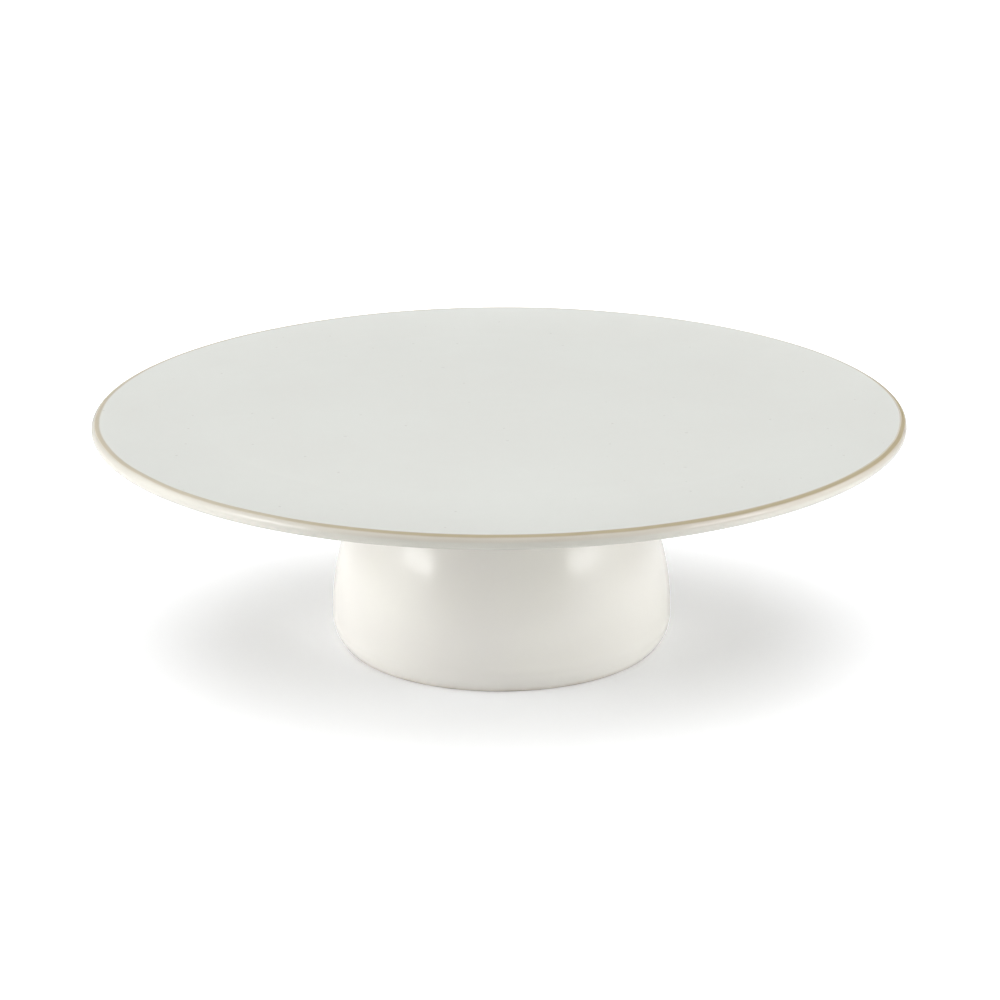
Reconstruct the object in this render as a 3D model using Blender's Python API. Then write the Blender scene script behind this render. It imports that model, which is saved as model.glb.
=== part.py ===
"""Low pedestal cake stand in glazed stoneware, modelled as it is put together.

The plate and the hollow domed pedestal are formed separately. The pedestal's upper
edge stands in an annular key groove under the plate, and a ring of luting slip beds
it there and is wiped to a small cove fillet on both sides.

Metres, +Z up. The origin is the centre of the foot ring's underside.
"""
import math

import bmesh
import bpy
from mathutils import Vector

MM = 0.001
SEGMENTS = 72                     # facets round every turned piece

# Overall size
PLATE_RADIUS = 150 * MM
STAND_HEIGHT = 90 * MM            # floor to the rim's crest

# Plate
WELL_RADIUS = 112 * MM            # flat part that carries the cake
RIM_RISE = 1.5 * MM               # crest above the well
RIM_NOSE_RADIUS = 2.5 * MM        # half round edge, so the rim is 5 mm thick
PLATE_THICKNESS = 8 * MM          # at the well
UNDERSIDE_FLAT_RADIUS = 75 * MM   # the underside climbs from here to the rim

# Pedestal
PEDESTAL_RADIUS = 64 * MM         # widest, above the foot edge
PEDESTAL_WIDEST_Z = 11 * MM
NECK_RADIUS = 38 * MM             # outside, at the upper edge
WALL_AT_FOOT = 8 * MM
WALL_AT_NECK = 6 * MM
FOOT_DRAW_IN = 4 * MM             # the outside draws in by this below the widest level
FOOT_DRAW_IN_POWER = 2.5
FOOT_EDGE_RADIUS = 0.8 * MM

# Seam
KEY_GROOVE_DEPTH = 2.4 * MM
KEY_GROOVE_MARGIN = 2.2 * MM      # groove beyond the pedestal's wall, each side
PEDESTAL_KEY_DEPTH = 0.8 * MM     # how far the pedestal's edge stands in the groove
FILLET_DROP = 3 * MM              # the wiped fillets reach this far down the wall
FILLET_REACH = 3.5 * MM           # and this far past the groove under the plate
FILLET_TIP = 0.6 * MM             # thickness left at both ends of a fillet
CONTACT_GAP = 0.3 * MM            # between touching meshes

# Levels and radii worked out from the sizes above
WELL_Z = STAND_HEIGHT - RIM_RISE
UNDERSIDE_Z = WELL_Z - PLATE_THICKNESS
GROOVE_FLOOR_Z = UNDERSIDE_Z + KEY_GROOVE_DEPTH
PEDESTAL_TOP_Z = UNDERSIDE_Z + PEDESTAL_KEY_DEPTH
NECK_INNER_RADIUS = NECK_RADIUS - WALL_AT_NECK
GROOVE_OUTER_RADIUS = NECK_RADIUS + KEY_GROOVE_MARGIN
GROOVE_INNER_RADIUS = NECK_INNER_RADIUS - KEY_GROOVE_MARGIN


def clear_scene():
    for obj in list(bpy.data.objects):
        bpy.data.objects.remove(obj, do_unlink=True)


def material(name, color, roughness):
    mat = bpy.data.materials.new(name)
    mat.use_nodes = True
    shader = mat.node_tree.nodes["Principled BSDF"]
    shader.inputs["Base Color"].default_value = (*color, 1.0)
    shader.inputs["Roughness"].default_value = roughness
    shader.inputs["Metallic"].default_value = 0.0
    return mat


def arc(center, radius, start_deg, end_deg, steps):
    """Points (r, z) on an arc, both ends included. 0 degrees is outward, 90 is up."""
    points = []
    for i in range(steps + 1):
        angle = math.radians(start_deg + (end_deg - start_deg) * i / steps)
        points.append((center[0] + radius * math.cos(angle),
                       center[1] + radius * math.sin(angle)))
    return points


def turned_piece(name, profile, mat, closed):
    """A solid of revolution about Z. The ends of an open profile are capped flat."""
    bm = bmesh.new()
    verts = [bm.verts.new((r, 0.0, z)) for r, z in profile]
    edges = [bm.edges.new(pair) for pair in zip(verts, verts[1:])]
    if closed:
        edges.append(bm.edges.new((verts[-1], verts[0])))
    bmesh.ops.spin(bm, geom=verts + edges, cent=Vector(), axis=Vector((0, 0, 1)),
                   angle=math.tau, steps=SEGMENTS, use_merge=True)
    if not closed:
        ends = [edge for edge in bm.edges if edge.is_boundary]
        bmesh.ops.holes_fill(bm, edges=ends, sides=SEGMENTS)
    bmesh.ops.recalc_face_normals(bm, faces=bm.faces)
    mesh = bpy.data.meshes.new(name)
    bm.to_mesh(mesh)
    bm.free()
    mesh.materials.append(mat)
    mesh.shade_smooth()
    mesh.set_sharp_from_angle(angle=math.radians(35))
    obj = bpy.data.objects.new(name, mesh)
    bpy.context.scene.collection.objects.link(obj)
    return obj


def plate_profile():
    """From the edge of the well, over the rim and back under to the centre disc."""
    nose_r = PLATE_RADIUS - RIM_NOSE_RADIUS
    nose_z = STAND_HEIGHT - RIM_NOSE_RADIUS
    rise_length = nose_r - WELL_RADIUS
    rise_slope = math.degrees(math.atan(2 * RIM_RISE / rise_length))
    under_slope = math.degrees(math.atan2(nose_z - RIM_NOSE_RADIUS - UNDERSIDE_Z,
                                          nose_r - UNDERSIDE_FLAT_RADIUS))
    rise_steps = 5
    rise = []
    for i in range(rise_steps):
        t = i / rise_steps
        rise.append((WELL_RADIUS + rise_length * t, WELL_Z + RIM_RISE * t * t))
    nose = arc((nose_r, nose_z), RIM_NOSE_RADIUS, 90 + rise_slope, 0, 4)
    nose += arc((nose_r, nose_z), RIM_NOSE_RADIUS, 0, -90 + under_slope, 4)[1:]
    underside = [
        (UNDERSIDE_FLAT_RADIUS, UNDERSIDE_Z),
        (GROOVE_OUTER_RADIUS, UNDERSIDE_Z),
        (GROOVE_OUTER_RADIUS, GROOVE_FLOOR_Z),
        (GROOVE_INNER_RADIUS, GROOVE_FLOOR_Z),
        (GROOVE_INNER_RADIUS, UNDERSIDE_Z),
    ]
    return rise + nose + underside


def pedestal_outer_radius(z):
    """The dome: widest near the foot, drawing in to the neck as a parabola."""
    t = (z - PEDESTAL_WIDEST_Z) / (PEDESTAL_TOP_Z - PEDESTAL_WIDEST_Z)
    return PEDESTAL_RADIUS - (PEDESTAL_RADIUS - NECK_RADIUS) * t * t


def pedestal_inner_radius(z):
    wall = WALL_AT_FOOT + (WALL_AT_NECK - WALL_AT_FOOT) * z / PEDESTAL_TOP_Z
    return pedestal_outer_radius(z) - wall


def foot_outside():
    """The outside from below the widest level, in to the foot ring's outer edge."""
    points = []
    steps = 6
    lean = math.atan(FOOT_DRAW_IN_POWER * FOOT_DRAW_IN / PEDESTAL_WIDEST_Z)
    low_z = FOOT_EDGE_RADIUS * (1 - math.sin(lean))
    for i in range(1, steps + 1):
        z = PEDESTAL_WIDEST_Z + (low_z - PEDESTAL_WIDEST_Z) * i / steps
        t = (PEDESTAL_WIDEST_Z - z) / PEDESTAL_WIDEST_Z
        points.append((PEDESTAL_RADIUS - FOOT_DRAW_IN * t ** FOOT_DRAW_IN_POWER, z))
    edge_r = points[-1][0] - FOOT_EDGE_RADIUS * math.cos(lean)
    return points + arc((edge_r, FOOT_EDGE_RADIUS), FOOT_EDGE_RADIUS,
                        -math.degrees(lean), -90, 3)[1:]


def pedestal_profile():
    """Down the outside, round the foot ring and up the inside."""
    wall_steps = 8
    dome_height = PEDESTAL_TOP_Z - PEDESTAL_WIDEST_Z
    levels = [PEDESTAL_TOP_Z - dome_height * i / wall_steps for i in range(wall_steps + 1)]
    inner_foot = PEDESTAL_RADIUS - WALL_AT_FOOT
    outside = [(pedestal_outer_radius(z), z) for z in levels]
    foot_inner_edge = arc((inner_foot + FOOT_EDGE_RADIUS, FOOT_EDGE_RADIUS),
                          FOOT_EDGE_RADIUS, -90, -180, 3)
    inside = [(pedestal_inner_radius(z), z) for z in reversed(levels)]
    return outside + foot_outside() + foot_inner_edge + inside


def slip_fillet(side):
    """Cove under the plate, from its end on the plate to its end on the wall.

    side is +1 outside the pedestal and -1 inside it.
    """
    top_z = UNDERSIDE_Z - CONTACT_GAP
    low_z = UNDERSIDE_Z - FILLET_DROP
    if side > 0:
        wall_r = pedestal_outer_radius(low_z) + CONTACT_GAP
        plate_r = GROOVE_OUTER_RADIUS + FILLET_REACH
    else:
        wall_r = pedestal_inner_radius(low_z) - CONTACT_GAP
        plate_r = GROOVE_INNER_RADIUS - FILLET_REACH
    cove_r = wall_r + side * FILLET_TIP
    cove_top_z = top_z - FILLET_TIP
    steps = 4
    points = [(plate_r, top_z)]
    for i in range(steps + 1):
        angle = math.radians(90 * i / steps)
        points.append((plate_r - (plate_r - cove_r) * math.sin(angle),
                       low_z + (cove_top_z - low_z) * math.cos(angle)))
    points.append((wall_r, low_z))
    return points


def slip_profile():
    """An inverted U over the pedestal's upper edge, filling the key groove above it."""
    plate_side_z = UNDERSIDE_Z - CONTACT_GAP
    bed_top_z = GROOVE_FLOOR_Z - CONTACT_GAP
    bed_bottom_z = PEDESTAL_TOP_Z + CONTACT_GAP
    bed_outer_r = GROOVE_OUTER_RADIUS - CONTACT_GAP
    bed_inner_r = GROOVE_INNER_RADIUS + CONTACT_GAP
    over_outside = [(bed_outer_r, bed_top_z), (bed_outer_r, plate_side_z)]
    over_edge = [(NECK_RADIUS + CONTACT_GAP, bed_bottom_z),
                 (NECK_INNER_RADIUS - CONTACT_GAP, bed_bottom_z)]
    over_inside = [(bed_inner_r, plate_side_z), (bed_inner_r, bed_top_z)]
    return (over_outside + slip_fillet(+1) + over_edge
            + slip_fillet(-1)[::-1] + over_inside)


def build():
    clear_scene()
    satin_glaze = material("satin_grey_glaze", (0.73, 0.735, 0.69), 0.38)
    gloss_glaze = material("gloss_white_glaze", (0.80, 0.79, 0.755), 0.12)
    slip = material("fired_slip", (0.60, 0.52, 0.42), 0.75)
    turned_piece("plate", plate_profile(), satin_glaze, closed=False)
    turned_piece("pedestal", pedestal_profile(), gloss_glaze, closed=True)
    turned_piece("luting_slip", slip_profile(), slip, closed=True)


build()
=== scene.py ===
"""Looks of the low pedestal cake stand: fine turned meshes and procedural glazes.

The plate, the pedestal and the slip seam of the CAD model are each replaced by a finer
turned piece with the same section, which adds what the CAD leaves out: turning rings,
the softened edges of a glazed body, a seam wiped by hand and a slightly uneven firing.
Metres, +Z up, camera on the -Y side.
"""

import math

import bpy
import numpy as np
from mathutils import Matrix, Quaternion, Vector


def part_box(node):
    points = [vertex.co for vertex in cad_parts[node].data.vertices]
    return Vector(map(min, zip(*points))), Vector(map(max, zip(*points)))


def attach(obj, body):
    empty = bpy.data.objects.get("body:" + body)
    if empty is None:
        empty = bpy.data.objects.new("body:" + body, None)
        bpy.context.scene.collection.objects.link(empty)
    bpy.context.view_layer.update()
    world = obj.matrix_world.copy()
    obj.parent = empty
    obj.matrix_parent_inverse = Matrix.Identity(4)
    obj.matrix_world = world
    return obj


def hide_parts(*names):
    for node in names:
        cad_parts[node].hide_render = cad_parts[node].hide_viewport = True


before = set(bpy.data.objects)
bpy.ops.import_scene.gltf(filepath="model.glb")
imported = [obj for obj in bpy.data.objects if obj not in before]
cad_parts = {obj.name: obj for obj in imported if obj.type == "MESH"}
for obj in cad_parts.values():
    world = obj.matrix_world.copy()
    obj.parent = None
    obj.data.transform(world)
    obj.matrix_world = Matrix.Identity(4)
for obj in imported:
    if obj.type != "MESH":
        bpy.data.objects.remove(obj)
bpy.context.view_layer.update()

MM = 0.001

# Places and sizes read from the frame
PLATE_LOW, PLATE_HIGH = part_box("plate")
PEDESTAL_LOW, PEDESTAL_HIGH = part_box("pedestal")
PLATE_RADIUS = PLATE_HIGH.x
CREST_Z = PLATE_HIGH.z
UNDERSIDE_Z = PLATE_LOW.z
PEDESTAL_RADIUS = PEDESTAL_HIGH.x
PEDESTAL_TOP_Z = PEDESTAL_HIGH.z

# Sizes of the section, as in the CAD model
WELL_RADIUS = 112 * MM
RIM_RISE = 1.5 * MM
RIM_NOSE_RADIUS = 2.5 * MM
UNDERSIDE_FLAT_RADIUS = 75 * MM
PEDESTAL_WIDEST_Z = 11 * MM
NECK_RADIUS = 38 * MM
WALL_AT_FOOT = 8 * MM
WALL_AT_NECK = 6 * MM
FOOT_DRAW_IN = 4 * MM
FOOT_DRAW_IN_POWER = 2.5
FOOT_EDGE_RADIUS = 0.8 * MM
GROOVE_DEPTH = 2.4 * MM
GROOVE_MARGIN = 2.2 * MM
GROOVE_OUTER_RADIUS = NECK_RADIUS + GROOVE_MARGIN
GROOVE_INNER_RADIUS = NECK_RADIUS - WALL_AT_NECK - GROOVE_MARGIN
FILLET_DROP = 3 * MM
FILLET_REACH = 3.5 * MM
FILLET_TIP = 0.6 * MM
SEAM_BITE = 0.1 * MM              # the fired seam closes the CAD model's 0.3 mm gaps

WELL_Z = CREST_Z - RIM_RISE
NOSE_R = PLATE_RADIUS - RIM_NOSE_RADIUS
NOSE_Z = CREST_Z - RIM_NOSE_RADIUS


# ---------------------------------------------------------------- turned meshes

def arc(center, radius, start_deg, end_deg, steps):
    """Points (r, z) on an arc, both ends included. 0 degrees is outward, 90 is up."""
    return [(center[0] + radius * math.cos(a), center[1] + radius * math.sin(a))
            for a in np.radians(np.linspace(start_deg, end_deg, steps + 1))]


def line(start, end, steps):
    """Points after start, up to and including end."""
    return [(start[0] + (end[0] - start[0]) * i / steps,
             start[1] + (end[1] - start[1]) * i / steps) for i in range(1, steps + 1)]


def waves(x, y, wavelength, seed, count=9):
    """Smooth unevenness from -1 to 1: plane waves of about one length, in all directions."""
    rng = np.random.default_rng(seed)
    total = np.zeros_like(x)
    for _ in range(count):
        direction = rng.uniform(0, math.tau)
        length = wavelength * rng.uniform(0.7, 1.5)
        phase = rng.uniform(0, math.tau)
        along = x * math.cos(direction) + y * math.sin(direction)
        total += np.sin(along * math.tau / length + phase)
    return total / count


def ridge(value, center, width):
    """A soft ridge of height 1 where value is near center."""
    return np.exp(-((value - center) / width) ** 2)


def turned_mesh(name, profile, segments, closed, relief, warp, mat):
    """Turns a section about Z. relief moves the surface along its normal, warp along Z.

    An open section starts on the axis above and ends on it below. The glazes are laid
    on the shape as turned, which the mesh keeps in its "turned" attribute.
    """
    points = np.array(profile)
    along = np.roll(points, -1, axis=0) - np.roll(points, 1, axis=0)
    if not closed:
        along[0] = (1.0, 0.0)
        along[-1] = (-1.0, 0.0)
    along /= np.linalg.norm(along, axis=1)[:, None]
    out_r, out_z = -along[:, 1:], along[:, :1]
    turn = np.arange(segments) * math.tau / segments
    r, angle = np.meshgrid(points[:, 0], turn, indexing="ij")
    z = np.repeat(points[:, 1:], segments, axis=1)
    turned = np.stack([r * np.cos(angle), r * np.sin(angle), z], axis=-1)
    push = relief(r, z, angle)
    fired_r = r + push * out_r
    fired_z = z + push * out_z + warp(r, angle)
    fired = np.stack([fired_r * np.cos(angle), fired_r * np.sin(angle), fired_z], axis=-1)
    rows = len(points)
    if closed:
        grid = np.arange(rows * segments).reshape(rows, segments)
        grid = np.vstack([grid, grid[:1]])
    else:
        grid = np.arange((rows - 2) * segments).reshape(rows - 2, segments) + 1
        turned, fired = ends_as_points(turned), ends_as_points(fired)
    this, after = grid[:-1], grid[1:]
    faces = np.stack([this, after, np.roll(after, -1, axis=1), np.roll(this, -1, axis=1)],
                     axis=-1).reshape(-1, 4).tolist()
    if not closed:
        last = grid.max() + 1
        faces += [(0, a, b) for a, b in zip(grid[0].tolist(), np.roll(grid[0], -1).tolist())]
        faces += [(int(last), b, a)
                  for a, b in zip(grid[-1].tolist(), np.roll(grid[-1], -1).tolist())]
    mesh = bpy.data.meshes.new(name)
    mesh.from_pydata(fired.reshape(-1, 3).tolist(), [], faces)
    kept = mesh.attributes.new("turned", "FLOAT_VECTOR", "POINT")
    kept.data.foreach_set("vector", turned.astype(np.float32).ravel())
    mesh.materials.append(mat)
    mesh.shade_smooth()
    obj = bpy.data.objects.new(name, mesh)
    bpy.context.scene.collection.objects.link(obj)
    return obj


def ends_as_points(rings):
    """The first and last ring lie on the axis, so each becomes one point."""
    return np.concatenate([rings[0, :1], rings[1:-1].reshape(-1, 3), rings[-1, :1]])


def plate_profile():
    """From the axis over the top, round the rim and back under to the axis."""
    rise_length = NOSE_R - WELL_RADIUS
    rise_slope = math.degrees(math.atan(2 * RIM_RISE / rise_length))
    under_slope = math.degrees(math.atan2(NOSE_Z - RIM_NOSE_RADIUS - UNDERSIDE_Z,
                                          NOSE_R - UNDERSIDE_FLAT_RADIUS))
    points = [(0.0, WELL_Z)] + line((0.0, WELL_Z), (WELL_RADIUS, WELL_Z), 100)
    for t in np.linspace(0, 1, 41)[1:-1]:
        points.append((WELL_RADIUS + rise_length * t, WELL_Z + RIM_RISE * t * t))
    points += arc((NOSE_R, NOSE_Z), RIM_NOSE_RADIUS, 90 + rise_slope, -90 + under_slope, 40)
    flat = (UNDERSIDE_FLAT_RADIUS, UNDERSIDE_Z)
    groove_floor_z = UNDERSIDE_Z + GROOVE_DEPTH
    points += line(points[-1], flat, 30)
    points += line(flat, (GROOVE_OUTER_RADIUS, UNDERSIDE_Z), 12)
    points += line(points[-1], (GROOVE_OUTER_RADIUS, groove_floor_z), 2)
    points += line(points[-1], (GROOVE_INNER_RADIUS, groove_floor_z), 3)
    points += line(points[-1], (GROOVE_INNER_RADIUS, UNDERSIDE_Z), 2)
    points += line(points[-1], (0.0, UNDERSIDE_Z), 24)
    return points


def pedestal_outer_radius(z):
    t = (z - PEDESTAL_WIDEST_Z) / (PEDESTAL_TOP_Z - PEDESTAL_WIDEST_Z)
    return PEDESTAL_RADIUS - (PEDESTAL_RADIUS - NECK_RADIUS) * t * t


def pedestal_inner_radius(z):
    wall = WALL_AT_FOOT + (WALL_AT_NECK - WALL_AT_FOOT) * z / PEDESTAL_TOP_Z
    return pedestal_outer_radius(z) - wall


def foot_outside():
    """The outside from below the widest level, in to the foot ring's outer edge."""
    lean = math.atan(FOOT_DRAW_IN_POWER * FOOT_DRAW_IN / PEDESTAL_WIDEST_Z)
    low_z = FOOT_EDGE_RADIUS * (1 - math.sin(lean))
    points = []
    for z in np.linspace(PEDESTAL_WIDEST_Z, low_z, 25)[1:]:
        t = (PEDESTAL_WIDEST_Z - z) / PEDESTAL_WIDEST_Z
        points.append((PEDESTAL_RADIUS - FOOT_DRAW_IN * t ** FOOT_DRAW_IN_POWER, z))
    edge_r = points[-1][0] - FOOT_EDGE_RADIUS * math.cos(lean)
    return points + arc((edge_r, FOOT_EDGE_RADIUS), FOOT_EDGE_RADIUS,
                        -math.degrees(lean), -90, 8)[1:]


def pedestal_profile():
    """Down the outside, round the foot ring and up the inside."""
    levels = np.linspace(PEDESTAL_TOP_Z, PEDESTAL_WIDEST_Z, 90)
    inner_foot = PEDESTAL_RADIUS - WALL_AT_FOOT
    land_inner = (inner_foot + FOOT_EDGE_RADIUS, 0.0)
    points = [(pedestal_outer_radius(z), z) for z in levels] + foot_outside()
    points += line(points[-1], land_inner, 3)
    points += arc((land_inner[0], FOOT_EDGE_RADIUS), FOOT_EDGE_RADIUS, -90, -180, 8)[1:]
    points += [(pedestal_inner_radius(z), z) for z in levels[::-1]]
    return points


def slip_fillet(side):
    """Cove under the plate, from its end on the plate to its end on the wall."""
    top_z = UNDERSIDE_Z + SEAM_BITE
    low_z = UNDERSIDE_Z - FILLET_DROP
    if side > 0:
        wall_r = pedestal_outer_radius(low_z) - SEAM_BITE
        plate_r = GROOVE_OUTER_RADIUS + FILLET_REACH
    else:
        wall_r = pedestal_inner_radius(low_z) + SEAM_BITE
        plate_r = GROOVE_INNER_RADIUS - FILLET_REACH
    cove_r = wall_r + side * FILLET_TIP
    cove_top_z = top_z - FILLET_TIP
    points = [(plate_r, top_z)]
    for a in np.radians(np.linspace(0, 90, 13)):
        points.append((plate_r - (plate_r - cove_r) * math.sin(a),
                       low_z + (cove_top_z - low_z) * math.cos(a)))
    points.append((wall_r, low_z))
    return points


def slip_profile():
    """An inverted U over the pedestal's upper edge, filling the key groove above it."""
    plate_side_z = UNDERSIDE_Z + SEAM_BITE
    bed_top_z = UNDERSIDE_Z + GROOVE_DEPTH
    over_edge = [(NECK_RADIUS - SEAM_BITE, PEDESTAL_TOP_Z - SEAM_BITE),
                 (NECK_RADIUS - WALL_AT_NECK + SEAM_BITE, PEDESTAL_TOP_Z - SEAM_BITE)]
    return ([(GROOVE_OUTER_RADIUS, bed_top_z), (GROOVE_OUTER_RADIUS, plate_side_z)]
            + slip_fillet(+1) + over_edge + slip_fillet(-1)[::-1]
            + [(GROOVE_INNER_RADIUS, plate_side_z), (GROOVE_INNER_RADIUS, bed_top_z)])


# ---------------------------------------------------------------- relief

TOOLED_LINE_RADIUS = 110 * MM     # a shallow line just inside the end of the well
CENTER_RING_RADIUS = 17 * MM
TOP_TURNING_PITCH = 9 * MM
UNDERSIDE_TURNING_PITCH = 6 * MM
INSIDE_TURNING_PITCH = 7 * MM
LOW_RIDGE_Z = 9.2 * MM            # the faint ridge low on the pedestal
LOW_GROOVE_Z = 6.8 * MM           # and the groove under it


def plate_relief(r, z, angle):
    """Faint turning rings and a shallow tooled line where the well ends."""
    x, y = r * np.cos(angle), r * np.sin(angle)
    top = z > NOSE_Z
    spiral = np.sin((r / TOP_TURNING_PITCH + angle / math.tau) * math.tau)
    upper = (-0.10 * MM * ridge(r, TOOLED_LINE_RADIUS, 2.2 * MM)
             + 0.05 * MM * ridge(r, CENTER_RING_RADIUS, 3 * MM)
             + 0.008 * MM * spiral * (r > 4 * MM)
             + 0.05 * MM * waves(x, y, 60 * MM, seed=3))
    under = (0.05 * MM * np.sin(r / UNDERSIDE_TURNING_PITCH * math.tau)
             + 0.06 * MM * waves(x, y, 40 * MM, seed=4))
    seam = (r > GROOVE_INNER_RADIUS - 1 * MM) & (r < GROOVE_OUTER_RADIUS + 1 * MM)
    return np.where(top, upper, np.where(seam, 0.0, under)) * np.minimum(r / (4 * MM), 1.0)


def pedestal_relief(r, z, angle):
    """A faint ridge low on the wall, and slow unevenness round it."""
    x, y = r * np.cos(angle), r * np.sin(angle)
    outside = r > pedestal_outer_radius(z) - 3 * MM
    above_foot = np.clip((z - 1 * MM) / (6 * MM), 0, 1)
    outer = (0.07 * MM * ridge(z, LOW_RIDGE_Z, 1.4 * MM)
             - 0.07 * MM * ridge(z, LOW_GROOVE_Z, 1.2 * MM)
             + 0.06 * MM * waves(x, y + 2 * z, 45 * MM, seed=7))
    inner = (0.15 * MM * np.sin(z / INSIDE_TURNING_PITCH * math.tau)
             + 0.1 * MM * waves(x, y, 30 * MM, seed=8))
    below_seam = np.clip((PEDESTAL_TOP_Z - z) / (6 * MM), 0, 1)
    return np.where(outside, outer, inner) * above_foot * below_seam


def no_warp(r, angle):
    return np.zeros_like(r)


# Slow lift of the plate's rim in the kiln: waves round the rim, millimetres, degrees
KILN_WARP = ((0, -0.26, 0), (1, 0.27, -90), (2, 0.15, 90), (3, 0.27, 90))


def plate_warp(r, angle):
    """The rim lifts and droops a little beyond the pedestal, as fired plates do."""
    reach = np.clip((r - GROOVE_OUTER_RADIUS) / (PLATE_RADIUS - GROOVE_OUTER_RADIUS), 0, 1)
    lift = sum(size * MM * np.cos(count * (angle - math.radians(at)))
               for count, size, at in KILN_WARP)
    return lift * reach ** 1.5


def slip_relief(r, z, angle):
    """Finger-wiped unevenness of the two fillets."""
    free = z < UNDERSIDE_Z - 0.3 * MM
    wiped = waves(r * np.cos(angle), r * np.sin(angle), 14 * MM, seed=12)
    return 0.12 * MM * wiped * free


# ---------------------------------------------------------------- materials

class Shader:
    """Short calls that add nodes to one material."""

    def __init__(self, name):
        self.mat = bpy.data.materials.new(name)
        self.mat.use_nodes = True
        self.tree = self.mat.node_tree
        self.principled = self.tree.nodes["Principled BSDF"]
        turned = self.add("ShaderNodeAttribute", attribute_name="turned")
        self.position = turned.outputs["Vector"]
        split = self.tree.nodes.new("ShaderNodeSeparateXYZ")
        self.link(self.position, split.inputs[0])
        self.x, self.y, self.z = split.outputs
        flat = self.add("ShaderNodeVectorMath", operation="MULTIPLY")
        self.link(self.position, flat.inputs[0])
        flat.inputs[1].default_value = (1, 1, 0)
        length = self.add("ShaderNodeVectorMath", operation="LENGTH")
        self.link(flat.outputs["Vector"], length.inputs[0])
        self.radius = length.outputs["Value"]
        self.flat = flat.outputs["Vector"]

    def add(self, kind, **settings):
        node = self.tree.nodes.new(kind)
        for key, value in settings.items():
            setattr(node, key, value)
        return node

    def link(self, source, socket):
        self.tree.links.new(source, socket)

    def put(self, value, socket):
        if isinstance(value, bpy.types.NodeSocket):
            self.link(value, socket)
        else:
            socket.default_value = value

    def math(self, operation, a, b=0.0):
        node = self.add("ShaderNodeMath", operation=operation)
        self.put(a, node.inputs[0])
        self.put(b, node.inputs[1])
        return node.outputs[0]

    def band(self, value, low, high, soft):
        """1 where value lies between low and high, with soft edges."""
        rise = self.span(value, low - soft, low + soft)
        fall = self.span(value, high - soft, high + soft, 1.0, 0.0)
        return self.math("MULTIPLY", rise, fall)

    def span(self, value, low, high, to_low=0.0, to_high=1.0):
        node = self.add("ShaderNodeMapRange", interpolation_type="SMOOTHSTEP")
        self.put(value, node.inputs["Value"])
        node.inputs["From Min"].default_value = low
        node.inputs["From Max"].default_value = high
        self.put(to_low, node.inputs["To Min"])
        self.put(to_high, node.inputs["To Max"])
        return node.outputs["Result"]

    def noise(self, scale, detail=3.0, roughness=0.5):
        node = self.add("ShaderNodeTexNoise")
        self.link(self.position, node.inputs["Vector"])
        node.inputs["Scale"].default_value = scale
        node.inputs["Detail"].default_value = detail
        node.inputs["Roughness"].default_value = roughness
        return node.outputs["Fac"]

    def specks(self, spacing, share, size, vector=None, dimensions="3D"):
        """1 inside small round specks: one in each of a share of cells spacing wide."""
        cells = self.add("ShaderNodeTexVoronoi", voronoi_dimensions=dimensions)
        self.link(vector or self.position, cells.inputs["Vector"])
        cells.inputs["Scale"].default_value = 1.0 / spacing
        pick = self.add("ShaderNodeSeparateColor")
        self.link(cells.outputs["Color"], pick.inputs[0])
        chosen = self.math("LESS_THAN", pick.outputs["Red"], share)
        own_size = self.span(pick.outputs["Green"], 0.0, 1.0, 0.5, 1.0)
        reach = self.math("MULTIPLY", own_size, size / spacing)
        depth = self.math("SUBTRACT", reach, cells.outputs["Distance"])
        inside = self.span(depth, 0.0, 0.35 * size / spacing)
        return self.math("MULTIPLY", inside, chosen)

    def mix(self, factor, a, b):
        node = self.add("ShaderNodeMix", data_type="RGBA")
        self.put(factor, node.inputs["Factor"])
        for value, index in ((a, 6), (b, 7)):
            if isinstance(value, tuple):
                value = (*value, 1.0)
            self.put(value, node.inputs[index])
        return node.outputs[2]

    def mix_value(self, factor, a, b):
        node = self.add("ShaderNodeMix", data_type="FLOAT")
        self.put(factor, node.inputs["Factor"])
        self.put(a, node.inputs[2])
        self.put(b, node.inputs[3])
        return node.outputs[0]

    def bump(self, height, distance, normal=None):
        node = self.add("ShaderNodeBump")
        node.inputs["Strength"].default_value = 1.0
        node.inputs["Distance"].default_value = distance
        self.link(height, node.inputs["Height"])
        if normal:
            self.link(normal, node.inputs["Normal"])
        return node.outputs["Normal"]

    def finish(self, color, roughness, normal):
        self.put(color, self.principled.inputs["Base Color"])
        self.put(roughness, self.principled.inputs["Roughness"])
        self.link(normal, self.principled.inputs["Normal"])
        self.principled.inputs["IOR"].default_value = 1.5
        return self.mat


CLAY = (0.44, 0.37, 0.23)         # iron-bearing body where the glaze breaks
CLAY_PALE = (0.62, 0.54, 0.44)    # same body under a thin veil of glaze
FOOT_CLAY = ((0.38, 0.34, 0.29), (0.54, 0.48, 0.41))    # grain of the dry foot ring
TOP_GLAZE = (0.745, 0.76, 0.72)
TOP_GLAZE_THIN = (0.735, 0.745, 0.705)
TOP_BLOTCH = (0.60, 0.62, 0.58)
RIM_GLAZE = (0.655, 0.645, 0.585) # rim's wall and underside at the front and the back, darker there as painted shade
RIM_SIDE_LIT_GLAZE = (0.79, 0.77, 0.70)  # lighter towards the two sides, as painted light from the side lamps
OUTER_GLAZE = (0.80, 0.787, 0.74)
OUTER_GLAZE_THIN = (0.785, 0.768, 0.733)
SLIP_GLAZE = (0.68, 0.62, 0.54)
IRON = (0.30, 0.27, 0.22)
OUTER_IRON = (0.25, 0.22, 0.18)
# pinholes' floors: the bared body, darkened further by painted shade in the holes
PIT_CLAY_AND_SHADE = (0.30, 0.28, 0.25)


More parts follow.
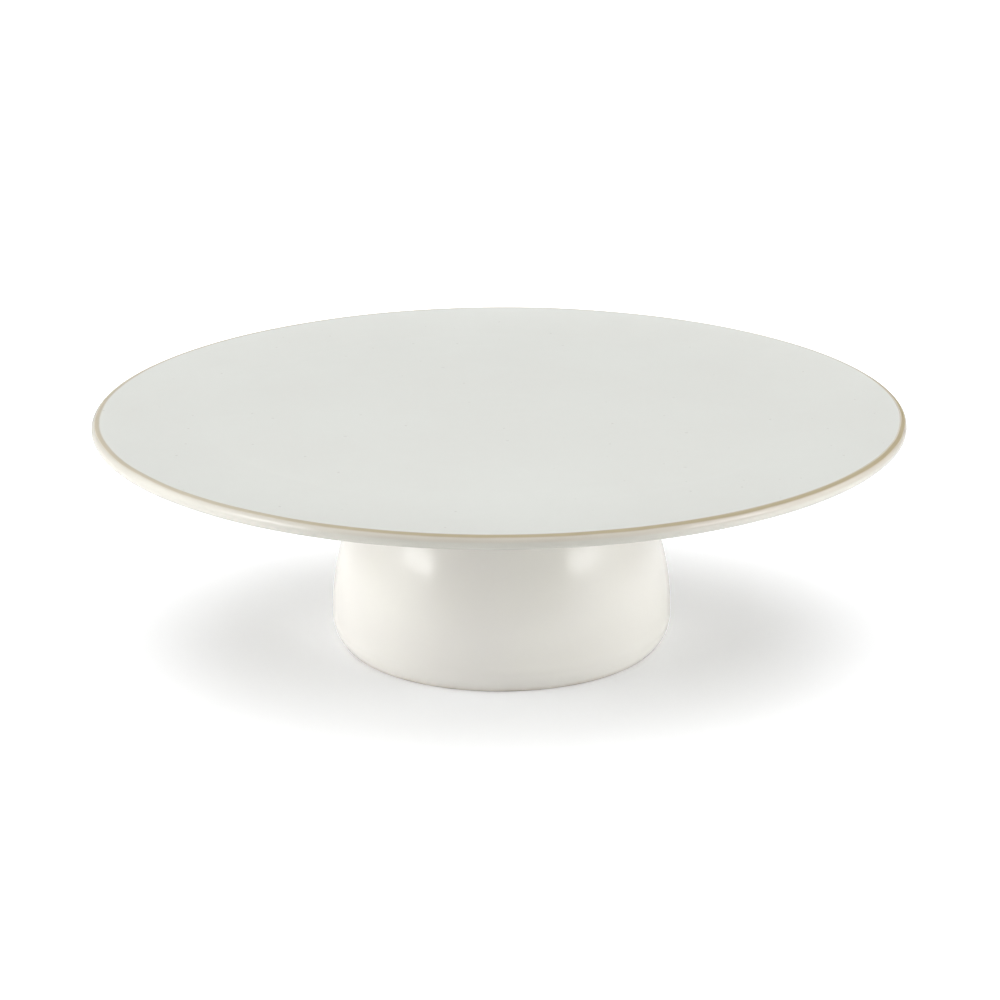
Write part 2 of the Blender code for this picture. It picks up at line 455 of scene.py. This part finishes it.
def plate_glaze():
    """Satin grey-white on top, glossier below, broken to brown along the rim's crest.

    angle runs round the rim's half round edge: 0 points outward, 90 up. Less of the clay
    shows towards -X, the side of the stronger lamps: painted light on the rim's edge.
    """
    s = Shader("plate_glaze")
    above = s.math("SUBTRACT", s.z, NOSE_Z)
    beyond = s.math("SUBTRACT", s.radius, NOSE_R)
    angle = s.math("MULTIPLY", s.math("ARCTAN2", above, beyond), math.degrees(1.0))
    top = s.span(angle, 84.0, 104.0)
    lean = s.math("MULTIPLY", s.x, 9.0 / PLATE_RADIUS)
    wander = s.math("MULTIPLY", s.math("SUBTRACT", s.noise(40.0, 2.0), 0.5), 16.0)
    angle = s.math("ADD", s.math("ADD", angle, lean), wander)

    pooling = s.noise(16.0, 3.0, 0.55)
    color = s.mix(s.span(pooling, 0.3, 0.7), TOP_GLAZE_THIN, TOP_GLAZE)
    color = s.mix(s.math("MULTIPLY", s.noise(180.0, 2.0), 0.06), color, TOP_BLOTCH)
    # Painted light and shade: the rim's wall is lighter towards the two sides, where the
    # side lamps fall, and darker at the front and back
    lit_sides = s.span(s.math("ABSOLUTE", s.x), 15 * MM, 100 * MM)
    color = s.mix(top, s.mix(lit_sides, RIM_GLAZE, RIM_SIDE_LIT_GLAZE), color)
    # Painted light: less veil and less brown towards -X, where the stronger lamps light the
    # rim
    lit_left = s.span(s.x, -110 * MM, -10 * MM, 1.0, 0.0)
    veil = s.band(angle, 14.0, 100.0, 12.0)
    color = s.mix(s.math("MULTIPLY", veil, s.mix_value(lit_left, 0.40, 0.12)), color,
                  CLAY_PALE)
    broken = s.band(angle, 52.0, 92.0, 8.0)
    color = s.mix(s.math("MULTIPLY", broken, s.mix_value(lit_left, 0.97, 0.66)), color,
                  CLAY)
    lower_edge = s.band(angle, -84.0, -62.0, 9.0)
    color = s.mix(s.math("MULTIPLY", lower_edge, 0.3), color, CLAY_PALE)

    iron = s.math("MULTIPLY", s.specks(19 * MM, 0.42, 0.55 * MM, s.flat, "2D"), top)
    pits = s.math("MULTIPLY", s.specks(31 * MM, 0.35, 0.8 * MM, s.flat, "2D"), top)
    color = s.mix(s.math("MULTIPLY", iron, 0.28), color, IRON)
    # Pinholes darkened: partly the body they bare, partly painted shade in the holes
    color = s.mix(s.math("MULTIPLY", pits, 0.15), color, PIT_CLAY_AND_SHADE)

    rough = s.mix_value(top, 0.14, 0.36)
    rough = s.mix_value(broken, rough, 0.5)
    rough = s.math("ADD", rough, s.math("MULTIPLY", s.noise(70.0, 3.0), 0.06))
    ripple = s.bump(s.noise(45.0, 2.0), 0.15 * MM)
    orange_peel = s.bump(s.noise(420.0, 2.0), 0.012 * MM, ripple)
    pit_normal = s.bump(s.math("SUBTRACT", 1.0, pits), 0.15 * MM, orange_peel)
    return s.finish(color, rough, pit_normal)


def pedestal_glaze():
    """Gloss warm white, thin over the foot edge, dry clay on the foot ring."""
    s = Shader("pedestal_glaze")
    mottle = s.noise(22.0, 3.0, 0.55)
    color = s.mix(s.span(mottle, 0.3, 0.7), OUTER_GLAZE_THIN, OUTER_GLAZE)
    low = s.math("ADD", s.z, s.math("MULTIPLY", s.math("SUBTRACT", s.noise(90.0, 3.0), 0.5),
                                    1.2 * MM))
    thin = s.span(low, 0.3 * MM, 2.4 * MM, 1.0, 0.0)
    dry = s.span(low, 0.25 * MM, 0.55 * MM, 1.0, 0.0)
    color = s.mix(s.math("MULTIPLY", thin, 0.40), color, CLAY_PALE)
    grain = s.noise(900.0, 3.0, 0.7)
    clay = s.mix(grain, *FOOT_CLAY)
    color = s.mix(dry, color, clay)
    iron = s.specks(14 * MM, 0.35, 0.9 * MM)
    color = s.mix(s.math("MULTIPLY", iron, 0.35), color, OUTER_IRON)
    rough = s.mix_value(dry, 0.14, 0.85)
    rough = s.math("ADD", rough, s.math("MULTIPLY", s.noise(60.0, 3.0), 0.04))
    ripple = s.bump(s.noise(38.0, 2.0), 0.12 * MM)
    normal = s.bump(s.math("MULTIPLY", grain, dry), 0.12 * MM, ripple)
    return s.finish(color, rough, normal)


def seam_glaze():
    """The wiped slip under the same glaze, a little warmer where it is thin."""
    s = Shader("seam_glaze")
    color = s.mix(s.span(s.noise(120.0, 3.0), 0.35, 0.7), OUTER_GLAZE, SLIP_GLAZE)
    rough = s.math("ADD", 0.16, s.math("MULTIPLY", s.noise(90.0, 3.0), 0.12))
    normal = s.bump(s.noise(260.0, 3.0), 0.08 * MM)
    return s.finish(color, rough, normal)


# ---------------------------------------------------------------- pieces

# How far off centre the two halves were set in the key groove
PLATE_SET_X = -0.25 * MM
PEDESTAL_SET_X = 0.45 * MM

# Facets round each piece
PLATE_SEGMENTS = 360
PEDESTAL_SEGMENTS = 320
SEAM_SEGMENTS = 240


def build_pieces():
    plate = turned_mesh("plate_body", plate_profile(), PLATE_SEGMENTS, False,
                        plate_relief, plate_warp, plate_glaze())
    pedestal = turned_mesh("pedestal_body", pedestal_profile(), PEDESTAL_SEGMENTS, True,
                           pedestal_relief, no_warp, pedestal_glaze())
    seam = turned_mesh("slip_seam", slip_profile(), SEAM_SEGMENTS, True,
                       slip_relief, no_warp, seam_glaze())
    plate.location.x = PLATE_SET_X
    pedestal.location.x = PEDESTAL_SET_X
    for piece, node, slot in ((plate, "plate", "plate_glaze"),
                              (pedestal, "pedestal", "pedestal_glaze"),
                              (seam, "luting_slip", "fired_slip")):
        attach(piece, "root")
        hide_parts(node)


# ---------------------------------------------------------------- studio

LENS_MM = 100.0
SENSOR_MM = 36.0
CAMERA_DISTANCE = 1.0425
CAMERA_ELEVATION = math.radians(18.25)
CAMERA_ROLL = math.radians(-0.22)
CAMERA_TARGET = Vector((0.0, 0.0, 0.0530))


def build_camera():
    data = bpy.data.cameras.new("camera")
    data.lens = LENS_MM
    data.sensor_width = SENSOR_MM
    camera = bpy.data.objects.new("camera", data)
    back = Vector((0, -math.cos(CAMERA_ELEVATION), math.sin(CAMERA_ELEVATION)))
    camera.location = CAMERA_TARGET + back * CAMERA_DISTANCE
    camera.rotation_euler = (back.to_track_quat("Z", "Y")
                             @ Quaternion((0, 0, 1), CAMERA_ROLL)).to_euler()
    bpy.context.scene.collection.objects.link(camera)
    bpy.context.scene.camera = camera


ROOM_GLOW = 0.02
STUDIO_HALF = 12.0                # half the width of the table and the backdrops
BACKDROP_HEIGHT = 24.0
BACKDROP_LOW_Z = -0.01
TABLE_COLOR = (0.85, 0.86, 0.885)
# Two radii in metres and the table's glow at each; it changes smoothly between them. The
# glow is low round the stand: a painted shadow on the table
SHADOW_GLOW = (0.056, 0.138, 0.175, 0.45)
FAR_GLOW = (0.30, 0.90, 0.0, 0.60)    # added further out, where less light falls
SHADOW_OVAL = (0.74, 1.0, 1.0)         # the painted shadow is wider than it is deep
CARD_HALF = 0.32
CARD_Z = -0.0001
UNDER_Z = -0.0003


def paper_sheet(name, corners, emission, color):
    """One flat sheet of matt paper with a little light of its own."""
    mesh = bpy.data.meshes.new(name)
    mesh.from_pydata(corners, [], [tuple(range(len(corners)))])
    mat = bpy.data.materials.new(name + "_paper")
    mat.use_nodes = True
    shader = mat.node_tree.nodes["Principled BSDF"]
    shader.inputs["Base Color"].default_value = (*color, 1)
    shader.inputs["Roughness"].default_value = 0.9
    shader.inputs["Specular IOR Level"].default_value = 0.0
    shader.inputs["Emission Color"].default_value = (1, 1, 1, 1)
    shader.inputs["Emission Strength"].default_value = emission
    mesh.materials.append(mat)
    obj = bpy.data.objects.new(name, mesh)
    bpy.context.scene.collection.objects.link(obj)
    return obj


def only_looked_at(sheet):
    """The camera sees the sheet, and it neither lights nor shades anything."""
    sheet.visible_diffuse = False
    sheet.visible_glossy = False
    sheet.visible_transmission = False
    sheet.visible_shadow = False


def square(half, z):
    return [(-half, -half, z), (half, -half, z), (half, half, z), (-half, half, z)]


def build_floor():
    """A glowing paper table with a painted shadow round the stand, over the card and the
    floor that light the stand from below.
    """
    table = paper_sheet("floor", square(STUDIO_HALF, 0.0), 1.0, TABLE_COLOR)
    only_looked_at(table)
    tree = table.data.materials[0].node_tree
    place = tree.nodes.new("ShaderNodeNewGeometry")
    oval = tree.nodes.new("ShaderNodeVectorMath")
    oval.operation = "MULTIPLY"
    tree.links.new(place.outputs["Position"], oval.inputs[0])
    oval.inputs[1].default_value = SHADOW_OVAL
    reach = tree.nodes.new("ShaderNodeVectorMath")
    reach.operation = "LENGTH"
    tree.links.new(oval.outputs["Vector"], reach.inputs[0])
    total = tree.nodes.new("ShaderNodeMath")
    total.operation = "ADD"
    # The table's glow is painted light: low round the stand as a painted shadow, higher
    # further out
    for index, ramp in enumerate((SHADOW_GLOW, FAR_GLOW)):
        glow = tree.nodes.new("ShaderNodeMapRange")
        glow.interpolation_type = "SMOOTHSTEP"
        tree.links.new(reach.outputs["Value"], glow.inputs["Value"])
        for socket, value in zip(("From Min", "From Max", "To Min", "To Max"), ramp):
            glow.inputs[socket].default_value = value
        tree.links.new(glow.outputs["Result"], total.inputs[index])
    tree.links.new(total.outputs["Value"],
                   tree.nodes["Principled BSDF"].inputs["Emission Strength"])
    card = paper_sheet("bounce_card", square(CARD_HALF, CARD_Z), 0.11, (0.82, 0.82, 0.82))
    under = paper_sheet("bounce_floor", square(STUDIO_HALF, UNDER_Z), 0.03,
                        (0.52, 0.52, 0.52))
    card.visible_camera = under.visible_camera = False


def build_backdrop():
    """White sheets round the table."""
    low, high = BACKDROP_LOW_Z, BACKDROP_HEIGHT
    for name, (dx, dy) in (("front", (0, -1)), ("back", (0, 1)),
                           ("left", (-1, 0)), ("right", (1, 0))):
        corners = [((dx + dy * s) * STUDIO_HALF, (dy - dx * s) * STUDIO_HALF, z)
                   for s, z in ((-1, low), (1, low), (1, high), (-1, high))]
        sheet = paper_sheet("backdrop_" + name, corners, 1.0, (0.0, 0.0, 0.0))
        only_looked_at(sheet)


SOFTBOX_DISTANCE = 2.0

# Softboxes as the stand sees them: azimuth of the middle, width, lowest and highest
# elevation, all in degrees, then radiance and what it is seen in. Azimuth 0 is the
# camera's side, positive towards +X. A radiance of 1 all round makes white paper just
# white. One seen in "light" isn't mirrored in the glaze, one in "gloss" only is.
SOFTBOXES = {
    "key_left": (-80, 20, 10, 30, 4.4, "light"),
    "fill_left": (-80, 60, 10, 30, 5.1, "light"),
    "low_left": (-70, 40, 0, 10, 7.3, "light"),
    "key_right": (80, 20, 10, 30, 4.0, "light"),
    "fill_right": (70, 40, 10, 30, 3.7, "light"),
    "low_right": (70, 40, 0, 10, 6.9, "light"),
    "back_high": (180, 20, 30, 50, 1.6, "both"),
    "back_high_wide": (180, 60, 30, 50, 1.6, "both"),
    "back_low": (180, 60, 10, 30, 0.6, "both"),
    "glint_left": (-63, 26, 13, 32, 6.0, "gloss"),
    "glint_right": (63, 26, 13, 32, 5.2, "gloss"),
    "glint_far_left": (-96, 40, 10, 30, 1.3, "gloss"),
    "glint_far_right": (96, 40, 10, 30, 1.2, "gloss"),
}


def softbox(name, azimuth_deg, width_deg, low_deg, high_deg, radiance, seen_in):
    """One upright softbox, facing the stand."""
    distance = SOFTBOX_DISTANCE
    low = distance * math.tan(math.radians(low_deg))
    high = distance * math.tan(math.radians(high_deg))
    data = bpy.data.lights.new(name, "AREA")
    data.shape = "RECTANGLE"
    data.size = 2 * distance * math.tan(math.radians(width_deg / 2))
    data.size_y = high - low
    data.energy = radiance * math.pi * data.size * data.size_y
    light = bpy.data.objects.new(name, data)
    a = math.radians(azimuth_deg)
    light.location = (math.sin(a) * distance, -math.cos(a) * distance, (low + high) / 2)
    away = Vector((light.location.x, light.location.y, 0)).normalized()
    light.rotation_euler = away.to_track_quat("Z", "Y").to_euler()
    light.visible_glossy = seen_in != "light"
    light.visible_diffuse = seen_in != "gloss"
    bpy.context.scene.collection.objects.link(light)


def overhead(size, height, radiance):
    """One square softbox over the stand, facing down."""
    data = bpy.data.lights.new("overhead", "AREA")
    data.shape = "SQUARE"
    data.size = size
    data.energy = radiance * math.pi * size * size
    light = bpy.data.objects.new("overhead", data)
    light.location = (0, 0, height)
    bpy.context.scene.collection.objects.link(light)


def build_world():
    world = bpy.data.worlds.new("studio")
    world.use_nodes = True
    background = world.node_tree.nodes["Background"]
    background.inputs["Color"].default_value = (1, 1, 1, 1)
    background.inputs["Strength"].default_value = ROOM_GLOW
    bpy.context.scene.world = world


def build_studio():
    build_camera()
    build_floor()
    build_backdrop()
    build_world()
    for name, values in SOFTBOXES.items():
        softbox(name, *values)
    overhead(size=3.0, height=2.4, radiance=1.64)
    bpy.context.scene.view_settings.view_transform = "Standard"


build_studio()
build_pieces()
